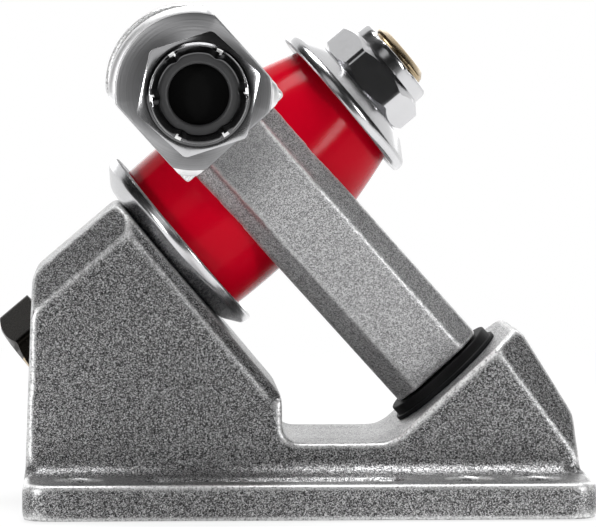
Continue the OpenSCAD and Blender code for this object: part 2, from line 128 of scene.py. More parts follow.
# Axle and hanger, in millimetres along the axle from its middle
AXLE_RADIUS = 3.97
AXLE_HALF_LENGTH = 122.0
AXLE_GRIP_RADIUS = 4.2
AXLE_RELIEF_RADIUS = 3.72
AXLE_RELIEF_EDGE = 0.2
AXLE_THREAD_FOOT = 114.0
AXLE_TIP_CHAMFER = 0.55
HANGER_END = 90.0
HANGER_HOLE_GAP = 0.01
SHOULDER_LENGTH = 3.0
SHOULDER_RADIUS = 9.5
SHOULDER_SINK = 0.5
SHOULDER_FOOT_EDGE = 0.2
SHOULDER_EDGE = 0.25
SHOULDER_EDGE_MIDDLE = 0.08
BAR_HALF_THICKNESS = 8.05
BAR_INNER = 8.0
BAR_RADIUS = 10.0
BAR_ROUND_OFFSET = 1.0
BAR_CORNER_RADIUS = 10.3
END_EDGE_LENGTH = 5.0
END_EDGE_OVERLAP = 0.3
YOKE_SIDE = 4.35
GUSSET_HALF_THICKNESS = 4.1
GUSSET_ROUNDING = 0.35
ON_FACE = 0.02
SPEED_RING_RADIUS = 6.1
SPEED_RING_THICKNESS = 1.0
RING_GAP = 0.02
RING_HOLE_GAP = 0.1
RING_HOLE_EDGE = 0.15
RING_NEAR_EDGE = 0.12
RING_FAR_EDGE = 0.35

# Lock nuts, in millimetres: the first angle turns the hexagon about the nut's axis
Nut = namedtuple("Nut", ("flats", "chamfer_slope", "hex_height", "collar_radius", "collar_height",
                         "thread_radius", "seat", "first_angle"))
KINGPIN_NUT = Nut(flats=KINGPIN_HEX, chamfer_slope=KINGPIN_CHAMFER_SLOPE, hex_height=4.8,
                  collar_radius=6.6, collar_height=2.1, thread_radius=KINGPIN_RADIUS,
                  seat=UPPER_BUSHING_TOP + WASHER_SHEET, first_angle=0.0)
AXLE_NUT = Nut(flats=12.7, chamfer_slope=0.42, hex_height=5.7,
               collar_radius=5.6, collar_height=2.5, thread_radius=AXLE_RADIUS,
               seat=116.4, first_angle=math.radians(6.0))
HEX_CORNER_SHARE = 0.985
HEX_FACE_SHARE = 0.96
NUT_THREAD_GAP = 0.06
NUT_COUNTERSINK = 0.5
COLLAR_WALL = 0.8
COLLAR_LIP = 0.42
CRIMPS = 6
FIRST_CRIMP = math.radians(53.0)
CRIMP_SHARPNESS = 8
CRIMP_BRIGHT_SHARE = 0.75
CRIMP_BRIGHT_WIDTH = 0.5
CRIMP_BRIGHT_HEIGHT = 0.7
KINGPIN_INSERT_HOLE = KINGPIN_RADIUS + 0.05
AXLE_INSERT_HOLE = 3.43
INSERT_GAP = 0.05
INSERT_SIDE_GAP = 0.02

# Threads and mesh detail
THREAD_PITCH = 25.4 / 24
THREAD_DEPTH = 0.55
THREAD_FLANK = 2.4
THREAD_END_SHARE = 0.3
THREAD_ROWS_PER_TURN = 8
TIP_CHAMFER_LENGTH = 0.7
TIP_EDGE_LENGTH = 0.1
TIP_EDGE_WIDTH = 0.35
COLUMNS = 144
ARC_STEPS = 7
SHARP_ANGLE = math.radians(32)
FAINT = 1e-6

# Castings: voxels in millimetres, and rounds of smoothing
BASE_VOXEL = 0.4
BASE_ROUNDS = 16
HANGER_VOXEL = 0.35
HANGER_ROUNDS = 12
BEND_ROUNDS = 3
BEND = "bend"


def axes_place(origin, z_axis, x_axis):
    """Matrix from millimetres, with z along a piece's own axis, to the frame."""
    y_axis = z_axis.cross(x_axis)
    turn = Matrix((x_axis, y_axis, z_axis)).transposed().to_4x4()
    return Matrix.Translation(origin) @ turn @ Matrix.Scale(MM, 4)


KINGPIN_PLACE = axes_place(CROSS, KINGPIN_AXIS, ALONG_AXLE.cross(KINGPIN_AXIS))
PIVOT_PLACE = axes_place(CROSS, PIVOT_AXIS, ALONG_AXLE.cross(PIVOT_AXIS))
AXLE_PLACES = {side: axes_place(AXLE_POINT, ALONG_AXLE * sign, PIVOT_AXIS) for side, sign in SIDES.items()}


# Mesh tools

def link_mesh(name, mesh):
    piece = bpy.data.objects.new(name, mesh)
    bpy.context.scene.collection.objects.link(piece)
    return piece


def shade_by_angle(shape):
    """Smooth faces, with the edges sharper than SHARP_ANGLE kept crisp."""
    for face in shape.faces:
        face.smooth = True
    for edge in shape.edges:
        if edge.is_manifold:
            edge.smooth = edge.calc_face_angle() < SHARP_ANGLE


def rounded(corners):
    """Closed profile of (radius, height) points, from corners of (radius, height, fillet)."""
    points = []
    for i, (radius, height, fillet) in enumerate(corners):
        corner = Vector((radius, height))
        if fillet <= 0:
            points.append(tuple(corner))
            continue
        before = (Vector(corners[i - 1][:2]) - corner).normalized()
        after = (Vector(corners[(i + 1) % len(corners)][:2]) - corner).normalized()
        half_angle = before.angle(after) / 2
        centre = corner + (before + after).normalized() * fillet / math.sin(half_angle)
        first = corner + before * fillet / math.tan(half_angle) - centre
        last = corner + after * fillet / math.tan(half_angle) - centre
        for step in range(ARC_STEPS + 1):
            share = step / ARC_STEPS
            points.append(tuple(centre + (first * (1 - share) + last * share).normalized() * fillet))
    return points


def turned(name, place, rows, closed=True, first_angle=0.0):
    """Piece turned about its z axis. A row is (radius, height), or a function from the angle to both."""
    shape = bmesh.new()
    rings = []
    for row in rows:
        ring = []
        for column in range(COLUMNS):
            angle = first_angle + 2 * math.pi * column / COLUMNS
            radius, height = row(angle) if callable(row) else row
            spot = Vector((radius * math.cos(angle), radius * math.sin(angle), height))
            ring.append(shape.verts.new(place @ spot))
        rings.append(ring)
    following = rings[1:] + rings[:1] if closed else rings[1:]
    for ring, upper in zip(rings, following):
        for column in range(COLUMNS):
            after = (column + 1) % COLUMNS
            shape.faces.new((ring[column], ring[after], upper[after], upper[column]))
    if not closed:
        shape.faces.new(list(reversed(rings[0])))
        shape.faces.new(rings[-1])
    bmesh.ops.recalc_face_normals(shape, faces=shape.faces)
    shade_by_angle(shape)
    mesh = bpy.data.meshes.new(name)
    shape.to_mesh(mesh)
    shape.free()
    return link_mesh(name, mesh)


def hex_row(flats, first_angle, height, slope=0.0):
    """Row of a hexagon with its corners turned off, moved along the axis by its chamfer's slope."""
    corner_limit = flats / 2 / math.cos(math.pi / 6) * HEX_CORNER_SHARE
    chamfer_start = flats / 2 * HEX_FACE_SHARE

    def row(angle):
        offset = (angle - first_angle) % (math.pi / 3) - math.pi / 6
        radius = min(flats / 2 / math.cos(offset), corner_limit)
        return radius, height + (radius - chamfer_start) * slope
    return row


def thread_rows(radius, low, high):
    """Rows of a cut thread: its groove climbs one pitch a turn."""
    count = round((high - low) / THREAD_PITCH * THREAD_ROWS_PER_TURN)
    rows = []
    for i in range(count + 1):
        height = low + (high - low) * i / count
        fade = min(1.0, (height - low) / THREAD_PITCH, (high - height) / THREAD_PITCH + THREAD_END_SHARE)

        def row(angle, height=height, fade=fade):
            phase = (height / THREAD_PITCH - angle / (2 * math.pi)) % 1
            groove = min(1.0, THREAD_FLANK * abs(phase - 0.5))
            return radius - THREAD_DEPTH * fade * (1 - groove), height
        rows.append(row)
    return rows


def threaded_end_rows(radius, foot, tip, chamfer):
    """Rows of a rod's threaded end, with a chamfered tip."""
    rows = thread_rows(radius, foot, tip - TIP_CHAMFER_LENGTH)
    rows.append((radius - chamfer, tip - TIP_EDGE_LENGTH))
    rows.append((radius - chamfer - TIP_EDGE_WIDTH, tip))
    return rows


# Shader tools

def add_node(tree, kind, settings=None, **inputs):
    made = tree.nodes.new(kind)
    for key, value in (settings or {}).items():
        setattr(made, key, value)
    for key, value in inputs.items():
        made.inputs[key].default_value = value
    return made


def wire(tree, value, socket):
    """Feeds a socket from another one, or sets it to a plain value."""
    if isinstance(value, bpy.types.NodeSocket):
        tree.links.new(value, socket)
    else:
        socket.default_value = value


def calculate(tree, operation, *values):
    """Result of a Math node."""
    node = add_node(tree, "ShaderNodeMath", {"operation": operation})
    for value, socket in zip(values, node.inputs):
        wire(tree, value, socket)
    return node.outputs[0]


def calculate_vector(tree, operation, *values):
    """Result of a Vector Math node."""
    node = add_node(tree, "ShaderNodeVectorMath", {"operation": operation})
    for value, socket in zip(values, node.inputs):
        wire(tree, value, socket)
    return node.outputs["Value" if operation == "LENGTH" else "Vector"]


def scale_vector(tree, vector, scale):
    node = add_node(tree, "ShaderNodeVectorMath", {"operation": "SCALE"})
    wire(tree, vector, node.inputs[0])
    wire(tree, scale, node.inputs["Scale"])
    return node.outputs["Vector"]


def noise_texture(tree, spot, scale, detail, roughness):
    noise = add_node(tree, "ShaderNodeTexNoise", Scale=scale, Detail=detail, Roughness=roughness)
    tree.links.new(spot, noise.inputs["Vector"])
    return noise.outputs["Fac"]


def rise_between(tree, value, low, high, interpolation="LINEAR"):
    """0 up to the low value, and 1 from the high value on."""
    node = add_node(tree, "ShaderNodeMapRange", {"interpolation_type": interpolation})
    wire(tree, value, node.inputs["Value"])
    wire(tree, low, node.inputs["From Min"])
    wire(tree, high, node.inputs["From Max"])
    return node.outputs[0]


def spread_over(tree, value, low, high):
    """A value of 0 to 1 spread from low to high."""
    node = add_node(tree, "ShaderNodeMapRange")
    wire(tree, value, node.inputs["Value"])
    wire(tree, low, node.inputs["To Min"])
    wire(tree, high, node.inputs["To Max"])
    return node.outputs[0]


def mix_colour(tree, factor, first, second):
    """Colour mixed from two, where each is a colour or a socket."""
    node = add_node(tree, "ShaderNodeMix", {"data_type": "RGBA"})
    tree.links.new(factor, node.inputs[0])
    for colour, socket in ((first, node.inputs[6]), (second, node.inputs[7])):
        wire(tree, colour if isinstance(colour, bpy.types.NodeSocket) else (*colour, 1.0), socket)
    return node.outputs[2]


# Shared effects

def group_sockets(tree, inputs, outputs):
    for name, default in inputs.items():
        socket = tree.interface.new_socket(name=name, in_out="INPUT", socket_type="NodeSocketFloat")
        socket.default_value = default
    for name in outputs:
        tree.interface.new_socket(name=name, in_out="OUTPUT", socket_type="NodeSocketFloat")
    return tree.nodes.new("NodeGroupInput"), tree.nodes.new("NodeGroupOutput")


def grain_coordinates(tree, size_socket):
    """Object coordinates counted in grains of the given size in millimetres."""
    spot = add_node(tree, "ShaderNodeTexCoord")
    per_metre = calculate(tree, "DIVIDE", 1 / MM, size_socket)
    return scale_vector(tree, spot.outputs["Object"], per_metre)


def cast_grain_group():
    """Tumbled casting: facets of random brightness, an orange peel under them and a slow mottle."""
    tree = bpy.data.node_groups.new("cast grain", "ShaderNodeTree")
    defaults = {"Grain mm": 0.22, "Grain contrast": 1.0, "Peel mm": 0.9}
    entry, leave = group_sockets(tree, defaults, ("Grain", "Mottle", "Height"))
    spot = grain_coordinates(tree, entry.outputs["Grain mm"])
    peel_spot = grain_coordinates(tree, entry.outputs["Peel mm"])
    facets = add_node(tree, "ShaderNodeTexVoronoi", Scale=1.0)
    tree.links.new(spot, facets.inputs["Vector"])
    chance = add_node(tree, "ShaderNodeSeparateColor")
    tree.links.new(facets.outputs["Color"], chance.inputs[0])
    chips = noise_texture(tree, spot, scale=0.8, detail=2.0, roughness=0.6)
    peel = noise_texture(tree, peel_spot, scale=1.0, detail=2.0, roughness=0.5)
    mottle = noise_texture(tree, peel_spot, scale=0.12, detail=3.0, roughness=0.6)
    chip_share = calculate(tree, "MULTIPLY", chips, 0.2)
    brightness = calculate(tree, "MULTIPLY_ADD", chance.outputs[0], 0.8, chip_share)
    grain = calculate(tree, "POWER", brightness, entry.outputs["Grain contrast"])
    height = calculate(tree, "MULTIPLY_ADD", peel, 0.5, brightness)
    tree.links.new(grain, leave.inputs["Grain"])
    tree.links.new(mottle, leave.inputs["Mottle"])
    tree.links.new(height, leave.inputs["Height"])
    return tree


def edge_wear_and_highlight_group():
    """Rubbed edges, lightened partly as real wear and partly as a painted highlight, where the surface bends
    outward, broken up by a fine noise.
    """
    tree = bpy.data.node_groups.new("edge wear and painted highlight", "ShaderNodeTree")
    entry, leave = group_sockets(tree, {"Start mm": 0.003, "End mm": 0.015, "Break up mm": 0.35}, ("Wear and highlight",))
    bend = add_node(tree, "ShaderNodeAttribute", {"attribute_name": BEND})
    rub = rise_between(tree, bend.outputs["Fac"], entry.outputs["Start mm"], entry.outputs["End mm"])
    spot = grain_coordinates(tree, entry.outputs["Break up mm"])
    noise = noise_texture(tree, spot, scale=1.0, detail=4.0, roughness=0.7)
    patchy = rise_between(tree, noise, 0.3, 0.55)
    tree.links.new(calculate(tree, "MULTIPLY", rub, patchy), leave.inputs["Wear and highlight"])
    return tree


def fine_noise_group():
    """Fine unevenness for plated, moulded and ground surfaces, stretched along one axis if asked."""
    tree = bpy.data.node_groups.new("fine noise", "ShaderNodeTree")
    defaults = {"Size mm": 0.5, "Stretch X": 1.0, "Stretch Y": 1.0, "Stretch Z": 1.0}
    entry, leave = group_sockets(tree, defaults, ("Fine", "Broad"))
    stretch = add_node(tree, "ShaderNodeCombineXYZ")
    for axis in "XYZ":
        tree.links.new(entry.outputs[f"Stretch {axis}"], stretch.inputs[axis])
    spot = grain_coordinates(tree, entry.outputs["Size mm"])
    stretched = calculate_vector(tree, "MULTIPLY", spot, stretch.outputs[0])
    fine = noise_texture(tree, stretched, scale=1.0, detail=4.0, roughness=0.6)
    broad = noise_texture(tree, stretched, scale=0.12, detail=3.0, roughness=0.55)
    tree.links.new(fine, leave.inputs["Fine"])
    tree.links.new(broad, leave.inputs["Broad"])
    return tree


def turned_rings_group():
    """Rings that a lathe tool leaves around the axle."""
    tree = bpy.data.node_groups.new("turned rings", "ShaderNodeTree")
    defaults = {"Pitch mm": 0.22, "Centre X mm": AXLE_POINT.x / MM, "Centre Z mm": AXLE_POINT.z / MM}
    entry, leave = group_sockets(tree, defaults, ("Ring", "Height"))
    spot = add_node(tree, "ShaderNodeTexCoord")
    in_mm = scale_vector(tree, spot.outputs["Object"], 1 / MM)
    centre = add_node(tree, "ShaderNodeCombineXYZ")
    tree.links.new(entry.outputs["Centre X mm"], centre.inputs["X"])
    tree.links.new(entry.outputs["Centre Z mm"], centre.inputs["Z"])
    offset = calculate_vector(tree, "SUBTRACT", in_mm, centre.outputs[0])
    across_axle = calculate_vector(tree, "MULTIPLY", offset, (1.0, 0.0, 1.0))
    distance = calculate_vector(tree, "LENGTH", across_axle)
    turns = calculate(tree, "DIVIDE", distance, entry.outputs["Pitch mm"])
    rings = add_node(tree, "ShaderNodeTexNoise", {"noise_dimensions": "1D"},
                     Scale=1.0, Detail=3.0, Roughness=0.7)
    tree.links.new(turns, rings.inputs["W"])
    tree.links.new(rings.outputs["Fac"], leave.inputs["Ring"])
    tree.links.new(calculate(tree, "PINGPONG", turns, 1.0), leave.inputs["Height"])
    return tree


CAST_GRAIN = cast_grain_group()
EDGE_WEAR_AND_HIGHLIGHT = edge_wear_and_highlight_group()
FINE_NOISE = fine_noise_group()
TURNED_RINGS = turned_rings_group()


# Materials

def new_material(name, **sockets):
    """Material with a Principled shader, whose plain values are set on its own sockets."""
    material = bpy.data.materials.new(name)
    material.use_nodes = True
    shader = material.node_tree.nodes["Principled BSDF"]
    for socket, value in sockets.items():
        shader.inputs[socket.replace("_", " ")].default_value = value
    return material, material.node_tree, shader


def place_group(tree, group, **inputs):
    placed = add_node(tree, "ShaderNodeGroup", {"node_tree": group})
    for socket, value in inputs.items():
        placed.inputs[socket.replace("_", " ")].default_value = value
    return placed


def feed_shader(tree, shader, colour, roughness, height, bump_mm):
    """Links a surface's colour and roughness, and a bump of the given depth."""
    bump = add_node(tree, "ShaderNodeBump", Strength=1.0, Distance=bump_mm * MM)
    tree.links.new(height, bump.inputs["Height"])
    tree.links.new(bump.outputs[0], shader.inputs["Normal"])
    tree.links.new(colour, shader.inputs["Base Color"])
    tree.links.new(roughness, shader.inputs["Roughness"])


def cast_material(name, dark, light, edge_wear_and_highlight_colour, contrast, peel_mm):
    """Tumbled aluminium whose facets run from dark to light, with rubbed edges lightened both as real wear
    and as a painted highlight.
    """
    material, tree, shader = new_material(name, Metallic=0.7)
    grain = place_group(tree, CAST_GRAIN, Grain_mm=0.125, Grain_contrast=contrast, Peel_mm=peel_mm)
    wear_and_highlight = place_group(tree, EDGE_WEAR_AND_HIGHLIGHT, Start_mm=0.008, End_mm=0.028)
    facets = mix_colour(tree, grain.outputs["Grain"], dark, light)
    # Edges lighten both as real rubbing and as a painted highlight on their rounding.
    worn_and_lit = mix_colour(tree, wear_and_highlight.outputs["Wear and highlight"], facets, edge_wear_and_highlight_colour)
    roughness = spread_over(tree, grain.outputs["Mottle"], 0.28, 0.52)
    feed_shader(tree, shader, worn_and_lit, roughness, grain.outputs["Height"], bump_mm=0.04)
    return material


def plated_material(name, colour, tint, roughness_low, roughness_high, bump_mm=0.004):
    """Plated metal whose colour wanders slowly towards a tint."""
    material, tree, shader = new_material(name, Metallic=1.0)
    noise = place_group(tree, FINE_NOISE, Size_mm=0.6)
    mixed = mix_colour(tree, noise.outputs["Broad"], colour, tint)
    roughness = spread_over(tree, noise.outputs["Fine"], roughness_low, roughness_high)
    feed_shader(tree, shader, mixed, roughness, noise.outputs["Broad"], bump_mm)
    return material


def ground_material(name, colour, tint, stretch):
    """Steel with fine grinding marks, drawn out where its stretch is small."""
    material, tree, shader = new_material(name, Metallic=0.9)
    stretches = {f"Stretch_{axis}": value for axis, value in zip("XYZ", stretch)}
    marks = place_group(tree, FINE_NOISE, Size_mm=0.25, **stretches)
    mixed = mix_colour(tree, marks.outputs["Fine"], colour, tint)
    roughness = spread_over(tree, marks.outputs["Broad"], 0.28, 0.48)
    feed_shader(tree, shader, mixed, roughness, marks.outputs["Fine"], bump_mm=0.012)
    return material


def turned_material(name, colour, tint):
    """Aluminium faced on a lathe."""
    material, tree, shader = new_material(name, Metallic=1.0, Anisotropic=0.75)
    rings = place_group(tree, TURNED_RINGS)
    around = add_node(tree, "ShaderNodeTangent", {"direction_type": "RADIAL", "axis": "Y"})
    tree.links.new(around.outputs[0], shader.inputs["Tangent"])
    mixed = mix_colour(tree, rings.outputs["Ring"], colour, tint)
    roughness = spread_over(tree, rings.outputs["Ring"], 0.36, 0.48)
    feed_shader(tree, shader, mixed, roughness, rings.outputs["Height"], bump_mm=0.003)
    return material


def moulded_material(name, colour, tint, roughness_low, roughness_high, size_mm, bump_mm, **sockets):
    """Moulded plastic or another dull surface, with a fine unevenness of the given size."""
    material, tree, shader = new_material(name, **sockets)
    noise = place_group(tree, FINE_NOISE, Size_mm=size_mm)
    mixed = mix_colour(tree, noise.outputs["Broad"], colour, tint)
    roughness = spread_over(tree, noise.outputs["Fine"], roughness_low, roughness_high)
    feed_shader(tree, shader, mixed, roughness, noise.outputs["Fine"], bump_mm)
    return material


BASE_CAST = cast_material("tumbled base casting", dark=(0.01, 0.01, 0.0105), light=(0.75, 0.75, 0.755),
                          edge_wear_and_highlight_colour=(0.84, 0.84, 0.84), contrast=2.4, peel_mm=0.9)
HANGER_CAST = cast_material("tumbled hanger casting", dark=(0.1, 0.1, 0.102), light=(0.68, 0.68, 0.685),
                            edge_wear_and_highlight_colour=(0.82, 0.82, 0.82), contrast=1.3, peel_mm=1.0)
TURNED_FACE = turned_material("turned end face", (0.24, 0.24, 0.245), (0.34, 0.34, 0.345))
# Painted highlight: a ring lighter than the casting around each bar end, standing for the top-lit band
# there.
BAR_END_PAINTED_HIGHLIGHT = plated_material("bar end painted highlight", (0.88, 0.88, 0.885), (0.8, 0.8, 0.805), 0.45, 0.6, bump_mm=0.01)
WASHER_CHROME = plated_material("washer chrome", (0.63, 0.63, 0.64), (0.52, 0.52, 0.53), 0.16, 0.28)
NUT_PLATING = plated_material("nut plating", (0.58, 0.58, 0.59), (0.48, 0.48, 0.49), 0.12, 0.24,
                              bump_mm=0.012)
# Painted dark reflection: a darker copy of the nut plating for the axle nuts' collars, standing for the dark
# room they mirror.
COLLAR_PAINTED_REFLECTION = plated_material("nut collar painted dark reflection", (0.14, 0.14, 0.143), (0.08, 0.08, 0.082), 0.12, 0.24,
                                 bump_mm=0.012)
# Painted glint: a near-white finish on the crimp tips, standing for their highlights.
CRIMP_PAINTED_GLINT = plated_material("crimp painted glint", (0.9, 0.9, 0.9), (0.8, 0.8, 0.8), 0.4, 0.55)
YELLOW_ZINC = plated_material("yellow zinc", (0.55, 0.43, 0.27), (0.3, 0.23, 0.14), 0.2, 0.35)
# Painted shade: a near-black copy of the zinc for the kingpin head, standing for the shade it lies in.
KINGPIN_HEAD_PAINTED_SHADE = plated_material("kingpin head painted shade", (0.018, 0.016, 0.013), (0.009, 0.008, 0.007), 0.2, 0.35)
RING_STEEL = plated_material("ring steel", (0.62, 0.62, 0.64), (0.5, 0.5, 0.52), 0.2, 0.35)
AXLE_STEEL = ground_material("axle steel", (0.3, 0.3, 0.31), (0.45, 0.45, 0.46), stretch=(0.1, 3.0, 0.1))
# Painted shade: the axle's end inside the nut is made near black, standing for the shade in the nut's bore.
AXLE_END_PAINTED_SHADE = moulded_material("axle end painted shade", (0.002, 0.002, 0.002), (0.004, 0.004, 0.004),
                                  0.7, 0.9, size_mm=0.4, bump_mm=0.01, Specular_IOR_Level=0.05)
BUSHING_RED = moulded_material("bushing urethane", (0.47, 0.001, 0.013), (0.41, 0.0, 0.009), 0.12, 0.2,
                               size_mm=1.2, bump_mm=0.006, Specular_IOR_Level=0.06)
CUP_BLACK = moulded_material("cup urethane", (0.004, 0.004, 0.0045), (0.008, 0.008, 0.0085), 0.5, 0.7,
                             size_mm=0.6, bump_mm=0.03, Specular_IOR_Level=0.12)
NYLON = moulded_material("insert nylon", (0.02, 0.02, 0.021), (0.034, 0.034, 0.035), 0.4, 0.6,
                         size_mm=0.4, bump_mm=0.02)


# Castings

def finish_piece(piece, material, node, body):
    """Gives a piece its finish and puts it in its CAD node's place. A piece given no body is left
    unattached.
    """
    piece.data.materials.append(material)
    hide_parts(node)
    if body is not None:
        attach(piece, body)


def node_shape(node):
    """Copy of a CAD node's mesh."""
    shape = bmesh.new()
    shape.from_mesh(frame["nodes"][node].data)
    bmesh.ops.remove_doubles(shape, verts=shape.verts, dist=FAINT)
    return shape


def cut_ends(shape, half_length_mm):
    """Cuts a shape short along the axle at both ends, and closes it."""
    for sign in SIDES.values():
        everything = shape.verts[:] + shape.edges[:] + shape.faces[:]
        outward = ALONG_AXLE * sign
        cut = bmesh.ops.bisect_plane(shape, geom=everything, plane_co=outward * half_length_mm * MM,
                                     plane_no=outward, clear_outer=True)
        rim = [part for part in cut["geom_cut"] if isinstance(part, bmesh.types.BMEdge)]
        bmesh.ops.holes_fill(shape, edges=rim)


def raise_gussets(shape):
    """Brings the gussets' faces out to the yoke's bevels, so that the bevels' edges run on to the bar."""
    up_axis = PIVOT_AXIS.cross(ALONG_AXLE)
    rise = YOKE_SIDE + GUSSET_ROUNDING - GUSSET_HALF_THICKNESS
    for vertex in shape.verts:
        up = (vertex.co - CROSS).dot(up_axis) / MM
        if abs(abs(up) - GUSSET_HALF_THICKNESS) < ON_FACE:
            vertex.co += up_axis * math.copysign(rise, up) * MM


def mark_bends(mesh):
    """Stores how far, in millimetres, each vertex stands out of its neighbours, evened out a little."""
    count = len(mesh.vertices)
    spots = np.empty(count * 3)
    mesh.vertices.foreach_get("co", spots)
    spots = spots.reshape(-1, 3)
    normals = np.empty(count * 3)
    mesh.vertex_normals.foreach_get("vector", normals)
    normals = normals.reshape(-1, 3)
    ends = np.empty(len(mesh.edges) * 2, dtype=np.int32)
    mesh.edges.foreach_get("vertices", ends)
    here = np.concatenate((ends[0::2], ends[1::2]))
    there = np.concatenate((ends[1::2], ends[0::2]))
    neighbours = np.maximum(np.bincount(here, minlength=count), 1)

    def neighbour_mean(values):
        return np.bincount(here, weights=values[there], minlength=count) / neighbours

    bend = np.zeros(count)
    for axis in range(3):
        bend += (spots[:, axis] - neighbour_mean(spots[:, axis])) * normals[:, axis] / MM
    for _ in range(BEND_ROUNDS):
        bend = (bend + neighbour_mean(bend)) / 2
    mesh.attributes.new(BEND, "FLOAT", "POINT").data.foreach_set("value", bend)


def soften_casting(name, shape, voxel_mm, rounds):
    """Piece with the rounded edges of a tumbled casting."""
    mesh = bpy.data.meshes.new(name)
    shape.to_mesh(mesh)
    shape.free()
    piece = link_mesh(name, mesh)
    remesh = piece.modifiers.new("voxels", "REMESH")
    remesh.mode = "VOXEL"
    remesh.voxel_size = voxel_mm * MM
    remesh.use_smooth_shade = True
    smooth = piece.modifiers.new("tumbling", "SMOOTH")
    smooth.factor = 0.5
    smooth.iterations = rounds
    graph = bpy.context.evaluated_depsgraph_get()
    piece.data = bpy.data.meshes.new_from_object(piece.evaluated_get(graph))
    piece.modifiers.clear()
    mark_bends(piece.data)
    return piece


def make_baseplate():
    piece = soften_casting("baseplate_casting", node_shape("baseplate"), BASE_VOXEL, BASE_ROUNDS)
    finish_piece(piece, BASE_CAST, "baseplate", "base")


def flat_sided_radius(angle, outer_radius):
    """Radius of a round end about the axle that is cut by the bar's flat sides and its inner face."""
    along = math.cos(angle)
    up = abs(math.sin(angle))
    radius = outer_radius
    if up > FAINT:
        radius = min(radius, BAR_HALF_THICKNESS / up)
    if along > FAINT:
        radius = min(radius, BAR_INNER / along)
    return radius


def shoulder_row(height, inset):
    """Row of a hanger's turned end."""
    def row(angle):
        return flat_sided_radius(angle, SHOULDER_RADIUS) - inset, height
    return row


def bar_row(height, inset):
    """Row of the hanger's bar, whose outer side is a circle set off from the axle."""
    def row(angle):
        radius = flat_sided_radius(angle, BAR_CORNER_RADIUS)
        outward = -math.cos(angle)
        if outward >= -FAINT:
            reach = BAR_ROUND_OFFSET * outward
            radius = min(radius, reach + math.sqrt(BAR_RADIUS ** 2 - BAR_ROUND_OFFSET ** 2 + reach ** 2))
        return radius - inset, height
    return row


def make_hanger():
    foot = HANGER_END - SHOULDER_LENGTH
    shape = node_shape("hanger")
    cut_ends(shape, foot - END_EDGE_LENGTH)
    raise_gussets(shape)
    piece = soften_casting("hanger_casting", shape, HANGER_VOXEL, HANGER_ROUNDS)
    finish_piece(piece, HANGER_CAST, "hanger", "hanger")
    hole = AXLE_GRIP_RADIUS + HANGER_HOLE_GAP
    shoulder_rows = [(hole, foot - SHOULDER_SINK),
                     shoulder_row(foot - SHOULDER_SINK, SHOULDER_FOOT_EDGE),
                     shoulder_row(foot + SHOULDER_FOOT_EDGE, 0.0),
                     shoulder_row(HANGER_END - SHOULDER_EDGE, 0.0),
                     shoulder_row(HANGER_END - SHOULDER_EDGE_MIDDLE, SHOULDER_EDGE_MIDDLE),
                     shoulder_row(HANGER_END, SHOULDER_EDGE),
                     (SHOULDER_RADIUS * 0.6, HANGER_END),
                     (hole, HANGER_END)]
    edge_foot = foot - END_EDGE_LENGTH - END_EDGE_OVERLAP
    inside = SHOULDER_RADIUS * 0.8
    edge_rows = [(inside, foot),
                 bar_row(foot, 1.3),
                 bar_row(foot - 0.12, 0.75),
                 bar_row(foot - 0.45, 0.28),
                 bar_row(foot - 1.0, 0.0),
                 bar_row(edge_foot, 0.0),
                 (inside, edge_foot)]
    for side, place in AXLE_PLACES.items():
        piece = turned(f"hanger_shoulder_{side}", place, shoulder_rows)
        finish_piece(piece, TURNED_FACE, "hanger", "hanger")
        # The ring behind each turned end gets the painted highlight.
        piece = turned(f"hanger_end_edge_{side}", place, edge_rows)
        finish_piece(piece, BAR_END_PAINTED_HIGHLIGHT, "hanger", "hanger")


# Kingpin, washers and bushings

def make_kingpin():
    head_foot = KINGPIN_HEAD_SEAT - KINGPIN_HEAD_HEIGHT
    rows = [(KINGPIN_HEX / 2 * HEAD_MIDDLE_SHARE, head_foot),
            (KINGPIN_HEX / 2 * HEAD_FACE_SHARE, head_foot),
            hex_row(KINGPIN_HEX, 0.0, head_foot, KINGPIN_CHAMFER_SLOPE),
            hex_row(KINGPIN_HEX, 0.0, KINGPIN_HEAD_SEAT),
            (KINGPIN_RADIUS + KINGPIN_HEAD_FILLET, KINGPIN_HEAD_SEAT),
            (KINGPIN_RADIUS, KINGPIN_HEAD_SEAT + KINGPIN_HEAD_FILLET)]
    rows += threaded_end_rows(KINGPIN_RADIUS, KINGPIN_THREAD_FOOT, KINGPIN_TIP, KINGPIN_TIP_CHAMFER)
    piece = turned("kingpin_bolt", KINGPIN_PLACE, rows, closed=False)
    finish_piece(piece, YELLOW_ZINC, "kingpin", "base")
    piece.data.materials.append(KINGPIN_HEAD_PAINTED_SHADE)
    # The head's faces that don't face down get the painted shade; its underside keeps the yellow zinc.
    for face in piece.data.polygons:
        on_head = (face.center - CROSS).dot(KINGPIN_AXIS) < (KINGPIN_HEAD_SEAT + FAINT) * MM
        if on_head and face.normal.z > UNDERSIDE_SLOPE:
            face.material_index = 1


